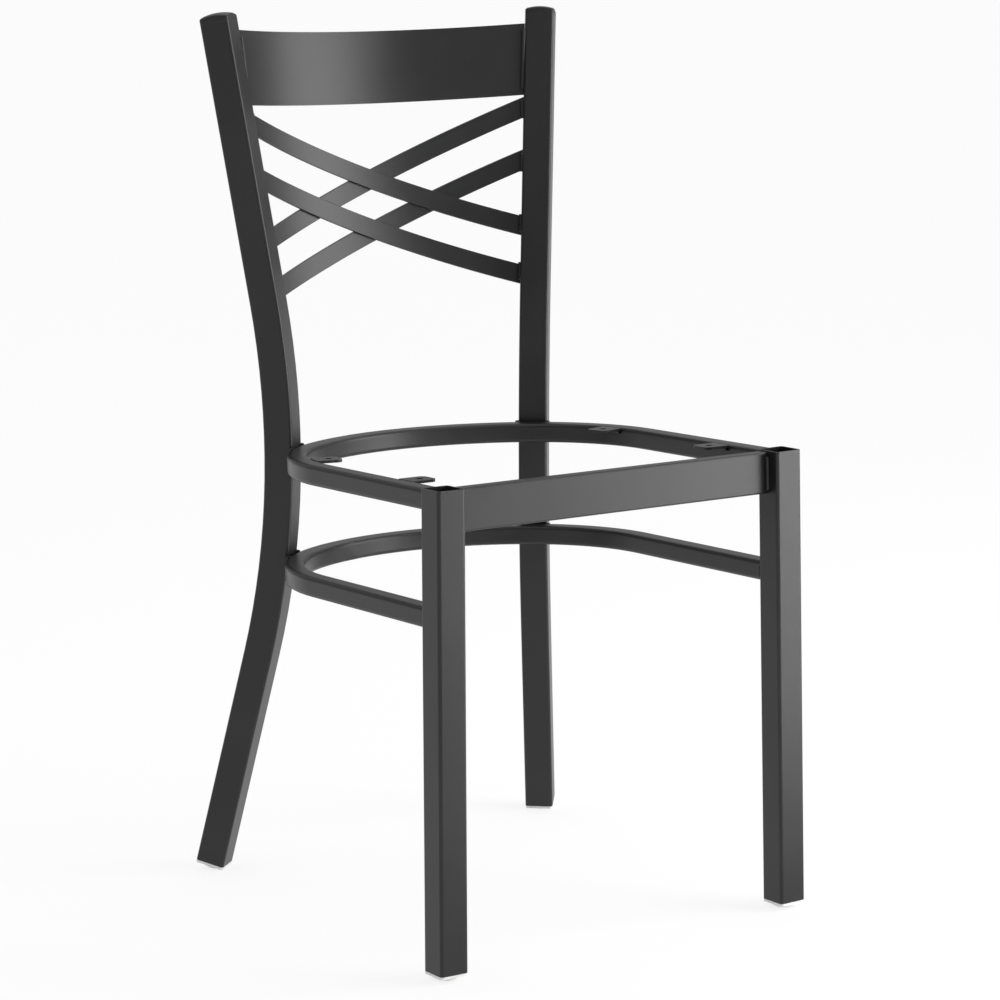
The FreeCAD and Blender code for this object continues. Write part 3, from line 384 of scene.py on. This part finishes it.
@dataclass(frozen=True)
class StudioFloor:
    """Plain matte white floor that is lifted towards pure white where it is seen or mirrored."""

    name: str = "studio_floor"
    white: Colour = (0.95, 0.95, 0.95)
    shade: Colour = (0.94, 0.94, 0.94)
    lift: float = 0.8

    def material(self) -> bpy.types.Material:
        """Build the material."""
        material, bench = new_bench(self.name)
        soft = bench.noise(bench.place(), 0.7, 2.0)
        matte = bench.node("ShaderNodeBsdfPrincipled", None, {
            "Base Color": bench.blend(soft, self.white, self.shade),
            "Roughness": 0.85,
            "Specular IOR Level": 0.1,
        })
        plain = bench.node("ShaderNodeEmission", None, {"Color": opaque((1.0, 1.0, 1.0)), "Strength": 1.0})
        ray = bench.node("ShaderNodeLightPath")
        seen = bench.out(ray, "Is Camera Ray") + bench.out(ray, "Is Glossy Ray") + bench.out(ray, "Is Transmission Ray")
        mixed = bench.node("ShaderNodeMixShader", None, {0: seen.clamped() * self.lift, 1: bench.out(matte),
                                                         2: bench.out(plain)})
        bench.finish(bench.out(mixed))
        return material


class Finish(Enum):
    """Finishes of the frame, each with a short name."""

    COAT = "frame_coat"
    CAP = "cap_plastic"
    GLIDE = "glide_plastic"


class FinishShelf:
    """Holds the built material of every finish."""

    def __init__(self) -> None:
        """Build the materials once."""
        self.made = {Finish.COAT: PowderCoat().material(), Finish.CAP: CapPlastic().material(),
                     Finish.GLIDE: GlidePlastic().material()}

    def dress(self, piece: bpy.types.Object, finish: Finish) -> None:
        """Put a finish on every slot of a piece.

        Args:
            piece: object to dress.
            finish: the finish.
        """
        material = self.made[finish]
        if not piece.material_slots:
            piece.data.materials.append(material)
        for place in piece.material_slots:
            place.material = material


class Shading:
    """Smooth shading over a CAD node's loose triangles, with its true corners kept sharp."""

    def __init__(self, corner: float = math.radians(33.0), weld: float = 2e-6) -> None:
        """Build the node group that the modifiers share.

        Args:
            corner: angle from which an edge stays sharp.
            weld: distance within which corners of triangles are one.
        """
        tree = bpy.data.node_groups.new("even_shading", "GeometryNodeTree")
        for way in ("INPUT", "OUTPUT"):
            tree.interface.new_socket("Geometry", in_out=way, socket_type="NodeSocketGeometry")
        self.group = tree
        bench = NodeBench(tree)
        start = bench.out(bench.node("NodeGroupInput"), 0)
        joined = bench.out(bench.node("GeometryNodeMergeByDistance", None,
                                      {"Geometry": start, "Distance": weld}), 0)
        faces = bench.out(bench.node("GeometryNodeSetShadeSmooth", {"domain": "FACE"},
                                     {"Geometry": joined, "Shade Smooth": True}), 0)
        angle = bench.out(bench.node("GeometryNodeInputMeshEdgeAngle"), 0)
        sharp = bench.out(bench.node("FunctionNodeCompare", {"data_type": "FLOAT", "operation": "GREATER_THAN"},
                                     {0: angle, 1: corner}), 0)
        edges = bench.out(bench.node("GeometryNodeSetShadeSmooth", {"domain": "EDGE"},
                                     {"Geometry": faces, "Selection": sharp, "Shade Smooth": False}), 0)
        bench.node("NodeGroupOutput", None, {0: edges})

    def smooth(self, piece: bpy.types.Object) -> None:
        """Add the shading modifiers to a piece.

        Args:
            piece: a CAD node's object.
        """
        first = piece.modifiers.new("even_shading", "NODES")
        first.node_group = self.group
        second = piece.modifiers.new("flat_faces_first", "WEIGHTED_NORMAL")
        second.mode = "FACE_AREA"
        second.weight = 60
        second.keep_sharp = True


@dataclass
class CadGroup:
    """CAD nodes that keep their shape and get a finish and even shading."""

    title: str
    nodes: Sequence[str]
    finish: Finish

    def dress(self, shelf: FinishShelf, shading: Shading) -> None:
        """Dress every node of the group.

        Args:
            shelf: the built finishes.
            shading: the shading modifiers.
        """
        for name in self.nodes:
            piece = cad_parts[name]
            shelf.dress(piece, self.finish)
            shading.smooth(piece)
            log.info("%s: %s in %s", self.title, name, self.finish.value)


@dataclass
class BeadLine:
    """Where one weld bead lies."""

    start: Vector
    end: Vector
    out: Vector


@dataclass
class WeldSeam:
    """Hand laid weld beads that replace the plain rods of one CAD node."""

    node: str
    title: str
    seed: int
    radius: float = 2.2 * MM
    ripple: float = 1.5 * MM
    swell: float = 0.16 * MM
    lag: float = 0.55 * MM
    around: int = 18
    rod_radius: float = 2.2 * MM
    first_end: float = 0.55
    last_end: float = 0.5
    unevenness: float = 0.05
    ripple_steps: tuple[tuple[float, float], ...] = ((0.25, 1.0), (0.65, 0.6), (1.0, -0.35))
    merge: float = 0.002 * MM
    fit_rounds: int = 60
    fit_share: float = 0.6

    def islands(self) -> list[np.ndarray]:
        """Split the CAD node into its beads.

        Returns:
            Corner places of each bead.
        """
        mesh = bmesh.new()
        mesh.from_mesh(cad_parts[self.node].data)
        bmesh.ops.remove_doubles(mesh, verts=mesh.verts, dist=self.merge)
        left, found = set(mesh.verts), []
        while left:
            heap = [min(left, key=lambda v: v.index)]
            left.discard(heap[0])
            group = []
            while heap:
                vert = heap.pop()
                group.append(vert)
                for edge in vert.link_edges:
                    other = edge.other_vert(vert)
                    if other in left:
                        left.discard(other)
                        heap.append(other)
            found.append(np.array([tuple(v.co) for v in group]))
        mesh.free()
        found.sort(key=lambda p: tuple(np.round(p.mean(0), 4)))
        return found

    def line(self, points: np.ndarray) -> BeadLine:
        """Find the line of a bead from the arc of its CAD rod.

        Args:
            points: corner places of the rod.

        Returns:
            The bead's line and the way it faces.
        """
        middle = points.mean(0)
        along = np.linalg.svd(points - middle)[2][0]
        depth = (points - middle) @ along
        flat = points - middle - np.outer(depth, along)
        centre = np.zeros(3)
        inner = np.ones(len(flat), bool)
        for _ in range(self.fit_rounds):
            gap = flat[inner] - centre
            reach = np.linalg.norm(gap, axis=1)[:, None]
            centre = (flat[inner] - self.rod_radius * gap / reach).mean(0)
            miss = abs(np.linalg.norm(flat - centre, axis=1) - self.rod_radius)
            inner = miss <= max(np.quantile(miss, self.fit_share), 1e-6)
        base = middle + centre
        outward = (flat[inner] - centre).mean(0)
        return BeadLine(Vector(base + depth.min() * along), Vector(base + depth.max() * along),
                        unit(Vector(outward)))

    def lay(self, mesh: bmesh.types.BMesh, bead: BeadLine, dice: random.Random) -> None:
        """Lay one rippled bead with rounded ends.

        Args:
            mesh: mesh that takes the bead.
            bead: its line.
            dice: source of the small unevenness of hand work.
        """
        along = unit(bead.end - bead.start)
        length = (bead.end - bead.start).length
        side = along.cross(bead.out)
        count = max(4, round(length / self.ripple))
        turn = Matrix((side, bead.out, along)).transposed().to_4x4()
        made = bmesh.ops.create_circle(mesh, segments=self.around, radius=self.radius, cap_ends=True,
                                       matrix=Matrix.Translation(bead.start) @ turn)
        face = made["verts"][0].link_faces[0]
        bmesh.ops.scale(mesh, vec=[self.first_end] * 3, space=Matrix.Translation(-bead.start), verts=made["verts"])
        here = bead.start.copy()
        scale_now = self.first_end
        stops = []
        for number in range(count):
            size = 1.0 + dice.uniform(-self.unevenness, self.unevenness)
            for part, swell in self.ripple_steps:
                stops.append((length * (number + part) / count, size + swell * self.swell / self.radius))
        stops[-1] = (stops[-1][0], self.last_end)
        for far, scale in stops:
            ring = bmesh.ops.extrude_face_region(mesh, geom=[face])["geom"]
            faces = [g for g in ring if isinstance(g, bmesh.types.BMFace)]
            verts = [g for g in ring if isinstance(g, bmesh.types.BMVert)]
            bmesh.ops.delete(mesh, geom=[face], context="FACES_ONLY")
            face = faces[0]
            target = bead.start + along * far
            for vert in verts:
                spoke = vert.co - here
                spoke = (spoke - along * spoke.dot(along)) * (scale / scale_now)
                lean = -self.lag * max(0.0, spoke.dot(bead.out) / self.radius) ** 2
                vert.co = target + spoke + along * lean
            here, scale_now = target, scale

    def build(self, shelf: FinishShelf) -> bpy.types.Object:
        """Lay the beads and dress them.

        Args:
            shelf: the built finishes.

        Returns:
            The piece.
        """
        dice = random.Random(self.seed)
        mesh = bmesh.new()
        for points in self.islands():
            self.lay(mesh, self.line(points), dice)
        bmesh.ops.recalc_face_normals(mesh, faces=mesh.faces)
        data = bpy.data.meshes.new(self.title)
        mesh.to_mesh(data)
        mesh.free()
        for polygon in data.polygons:
            polygon.use_smooth = True
        piece = bpy.data.objects.new(self.title, data)
        bpy.context.scene.collection.objects.link(piece)
        shelf.dress(piece, Finish.COAT)
        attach(piece, BODY)
        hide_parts(self.node)
        log.info("welds: %s, %d faces", self.title, len(data.polygons))
        return piece


class LampKind(Enum):
    """Kinds of lamp in the studio."""

    SOFTBOX = "AREA"
    SKY = "SUN"
    FLOOR_GLOW = "SPOT"


@dataclass(frozen=True)
class Lamp:
    """One soft lamp.

    A softbox has a level of brightness and two sides in metres. A sky lamp has a
    strength and an angle in degrees. A floor glow has a power, a cone in degrees
    and a share of the cone that fades.
    """

    name: str
    kind: LampKind
    place: tuple[float, float, float]
    aim: tuple[float, float, float]
    level: float
    width: float
    height: float

    def build(self) -> None:
        """Put the lamp in the scene."""
        data = bpy.data.lights.new(self.name, self.kind.value)
        if self.kind is LampKind.SOFTBOX:
            data.shape = "RECTANGLE"
            data.size, data.size_y = self.width, self.height
            data.energy = self.level * math.pi * self.width * self.height
        elif self.kind is LampKind.SKY:
            data.angle = math.radians(self.width)
            data.energy = self.level
        else:
            data.spot_size, data.spot_blend = math.radians(self.width), self.height
            data.shadow_soft_size = 0.15
            data.energy = self.level
        lamp = bpy.data.objects.new(self.name, data)
        lamp.location = self.place
        lamp.rotation_mode = "QUATERNION"
        lamp.rotation_quaternion = (Vector(self.aim) - Vector(self.place)).to_track_quat("-Z", "Y")
        bpy.context.scene.collection.objects.link(lamp)


@dataclass
class Studio:
    """Pale floor, even surroundings and soft lamps."""

    floor_radius: float = 60.0
    surround: float = 0.42
    lamps: tuple[Lamp, ...] = (
        Lamp("softbox_front_right", LampKind.SOFTBOX, (1.75, -1.25, 0.95), (0.0, 0.0, 0.5), 5.2, 1.4, 1.6),
        Lamp("softbox_low", LampKind.SOFTBOX, (1.15, -1.35, 0.22), (0.15, -0.2, 0.25), 4.8, 0.7, 0.4),
        Lamp("floor_glow_right", LampKind.FLOOR_GLOW, (1.25, -1.55, 1.3), (0.85, -1.05, 0.0), 1500.0, 45.0, 1.0),
        Lamp("sky_overhead", LampKind.SKY, (0.6, 0.4, 3.0), (0.0, 0.0, 0.0), 1.5, 100.0, 0.0),
    )

    def floor(self) -> None:
        """Lay the floor."""
        mesh = bmesh.new()
        bmesh.ops.create_circle(mesh, cap_ends=True, segments=96, radius=self.floor_radius)
        data = bpy.data.meshes.new("floor")
        mesh.to_mesh(data)
        mesh.free()
        data.materials.append(StudioFloor().material())
        piece = bpy.data.objects.new("floor", data)
        bpy.context.scene.collection.objects.link(piece)

    def world(self) -> None:
        """Set the even light of the surroundings."""
        world = bpy.data.worlds.new("surroundings")
        bpy.context.scene.world = world
        world.use_nodes = True
        bench = NodeBench(world.node_tree)
        light = bench.node("ShaderNodeBackground", None, {"Color": (1.0, 1.0, 1.0, 1.0), "Strength": self.surround})
        bench.node("ShaderNodeOutputWorld", None, {"Surface": bench.out(light, 0)})

    def build(self) -> None:
        """Build the whole studio."""
        self.floor()
        self.world()
        for lamp in self.lamps:
            lamp.build()
            log.info("studio: %s", lamp.name)
        view = bpy.context.scene.view_settings
        view.view_transform = "Standard"


@dataclass(frozen=True)
class Viewpoint:
    """Camera at the angle of the picture."""

    place: tuple[float, float, float] = (-1.664501, -2.483612, 0.922843)
    turn: tuple[float, float, float] = (1.3899863, -0.0003145, -0.5936554)
    sensor: float = 36.0
    lens: float = 115.626463

    def build(self) -> None:
        """Make the camera and use it."""
        data = bpy.data.cameras.new("viewpoint")
        data.sensor_width = self.sensor
        data.lens = self.lens
        data.clip_end = 300.0
        camera = bpy.data.objects.new("viewpoint", data)
        camera.location = self.place
        camera.rotation_euler = self.turn
        bpy.context.scene.collection.objects.link(camera)
        bpy.context.scene.camera = camera


def cad_groups() -> Iterable[CadGroup]:
    """List the CAD nodes that stay, by sub-assembly."""
    sides = ("left", "right")
    corners = [f"{row}_{side}" for row in ("front", "rear") for side in sides]
    return (
        CadGroup("legs", [f"front_leg_{side}" for side in sides], Finish.COAT),
        CadGroup("posts", [f"rear_post_{side}" for side in sides], Finish.COAT),
        CadGroup("seat ring", ["front_rail", "seat_hoop", "stretcher_hoop"], Finish.COAT),
        CadGroup("tabs", [f"seat_tab_{corner}" for corner in corners], Finish.COAT),
        CadGroup("back", ["top_panel"] + [f"{row}_slat_{level}" for row in ("front", "rear")
                                          for level in ("upper", "lower")], Finish.COAT),
        CadGroup("caps", [f"post_cap_{side}" for side in sides], Finish.CAP),
        CadGroup("glides", [f"glide_{corner}" for corner in corners], Finish.GLIDE),
    )


def weld_seams() -> Iterable[WeldSeam]:
    """List the weld beads, by the CAD node they replace."""
    nodes = ("rail_welds", "hoop_leg_welds", "hoop_post_welds", "panel_welds", "slat_welds", "tab_welds")
    return [WeldSeam(node, node.replace("_welds", "_weld_beads"), seed)
            for seed, node in enumerate(nodes, FIRST_SEED)]


def main() -> None:
    """Build the looks in order."""
    logging.basicConfig(level=logging.INFO, format="%(name)s: %(message)s")
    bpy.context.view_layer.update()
    shelf, shading = FinishShelf(), Shading()
    for group in cad_groups():
        group.dress(shelf, shading)
    for seam in weld_seams():
        seam.build(shelf)
    Studio().build()
    Viewpoint().build()


if __name__ == "__main__":
    main()
